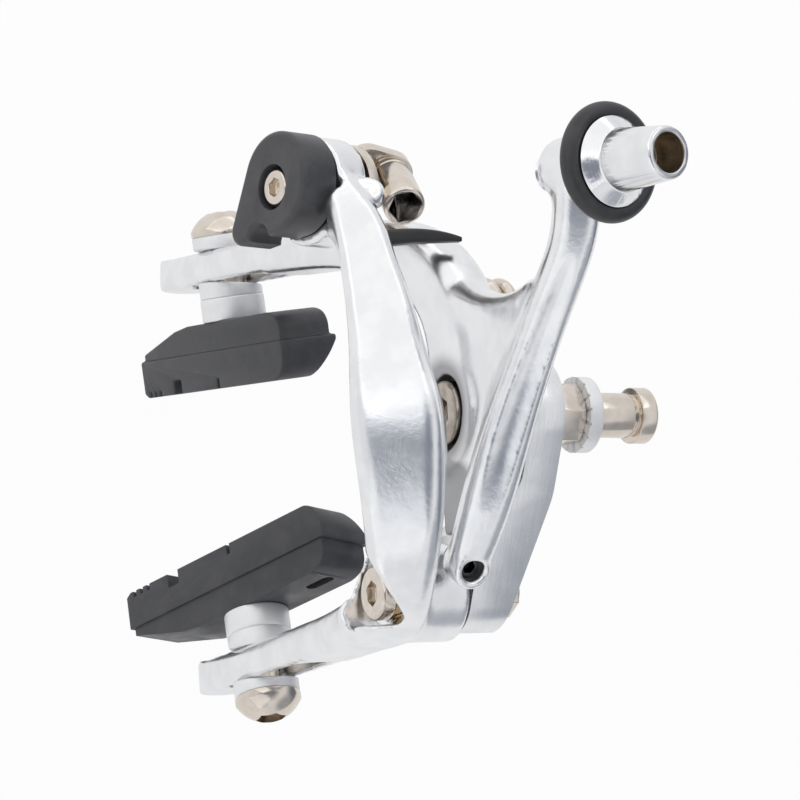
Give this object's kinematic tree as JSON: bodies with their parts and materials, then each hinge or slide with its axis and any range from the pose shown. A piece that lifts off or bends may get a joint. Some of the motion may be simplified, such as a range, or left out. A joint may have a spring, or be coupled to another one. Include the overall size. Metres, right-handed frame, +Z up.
{
  "type": "caliper brake",
  "caption": "Dual-pivot side-pull bicycle rim brake with polished arms, slotted legs, rubber pads, barrel adjuster and cable quick release.",
  "frame": {"origin": "centre-bolt axis at the rear face of the mounting washer, where the frame or fork crown is met", "axes": "+X to the right as seen from the front of the bicycle, +Y rearwards along the centre bolt into the frame, +Z up"},
  "size_m": [0.1003, 0.0694, 0.1669],
  "materials": {
    "polished_aluminium": "polished",
    "brushed_aluminium": "brushed",
    "satin_aluminium": "satin",
    "nickel_steel": "plated",
    "dark_steel": "satin",
    "bush_bronze": "satin",
    "black_paint": "matte",
    "pad_rubber": "matte",
    "grip_rubber": "semi-gloss",
    "black_plastic": "matte"
  },
  "bodies": {
    "frame_side": {"bridge_plate": "brushed_aluminium", "center_bolt": "nickel_steel", "front_thrust_washer": "dark_steel", "rear_thrust_washer": "dark_steel", "center_lock_nut": "nickel_steel", "spacer_washer": "nickel_steel", "mounting_washer": "satin_aluminium", "sleeve_nut": "nickel_steel", "side_pivot_bolt": "nickel_steel", "side_thrust_washer": "dark_steel", "side_pivot_nut": "nickel_steel", "return_spring": "nickel_steel"},
    "y_arm": {"y_arm": "polished_aluminium", "center_bush": "bush_bronze", "centring_screw": "nickel_steel", "brake_pad_left": "pad_rubber", "pad_insert_left": "nickel_steel", "pad_cone_washer_left": "satin_aluminium", "pad_dish_washer_left": "satin_aluminium", "pad_outer_washer_left": "satin_aluminium", "pad_bolt_left": "nickel_steel"},
    "c_arm": {"c_arm": "polished_aluminium", "side_pivot_bush": "bush_bronze", "plastic_tongue": "black_plastic", "brake_pad_right": "pad_rubber", "pad_insert_right": "nickel_steel", "pad_cone_washer_right": "satin_aluminium", "pad_dish_washer_right": "satin_aluminium", "pad_outer_washer_right": "satin_aluminium", "pad_bolt_right": "nickel_steel"},
    "adjuster": {"adjuster_barrel": "polished_aluminium", "adjuster_grip_ring": "grip_rubber"},
    "quick_release": {"qr_lever": "black_paint", "qr_cam_shaft": "nickel_steel", "qr_lever_screw": "nickel_steel"},
    "cable_clamp": {"clamp_plate": "nickel_steel", "clamp_washer": "nickel_steel", "clamp_bolt": "nickel_steel"}
  },
  "joints": [
    {"name": "c_arm_pivot", "type": "hinge", "parent": "frame_side", "child": "c_arm", "pos_m": [0.03, -0.03, -0.0115], "axis": [0, 1, 0], "range_deg": [0, 9], "stiffness_Nm_per_rad": 0.8, "springref_deg": -28.65, "deforming": ["return_spring"]},
    {"name": "y_arm_pivot", "type": "hinge", "parent": "frame_side", "child": "y_arm", "pos_m": [0, -0.0226, 0], "axis": [0, 1, 0], "range_deg": [-7.2, 0]},
    {"name": "adjuster_turn", "type": "hinge", "parent": "y_arm", "child": "adjuster", "pos_m": [-0.0338, -0.02, 0.047], "axis": [0.1, 0.1899, 0.9767], "range_deg": [-360, 1710]},
    {"name": "quick_release_turn", "type": "hinge", "parent": "c_arm", "child": "quick_release", "pos_m": [-0.0404, -0.044, -0.0114], "axis": [0, -0.9743, 0.2251], "range_deg": [-80, 0]},
    {"name": "cable_clamp_slide", "type": "slide", "parent": "c_arm", "child": "cable_clamp", "axis": [0, 0.2251, 0.9743], "range_m": [0, 0.0012]}
  ],
  "couplings": [
    {"joint": "y_arm_pivot", "follows": "c_arm_pivot", "ratio": -0.8},
    {"joint": "quick_release_turn", "follows": "cable_clamp_slide", "rad_per_m": -1163.5}
  ]
}
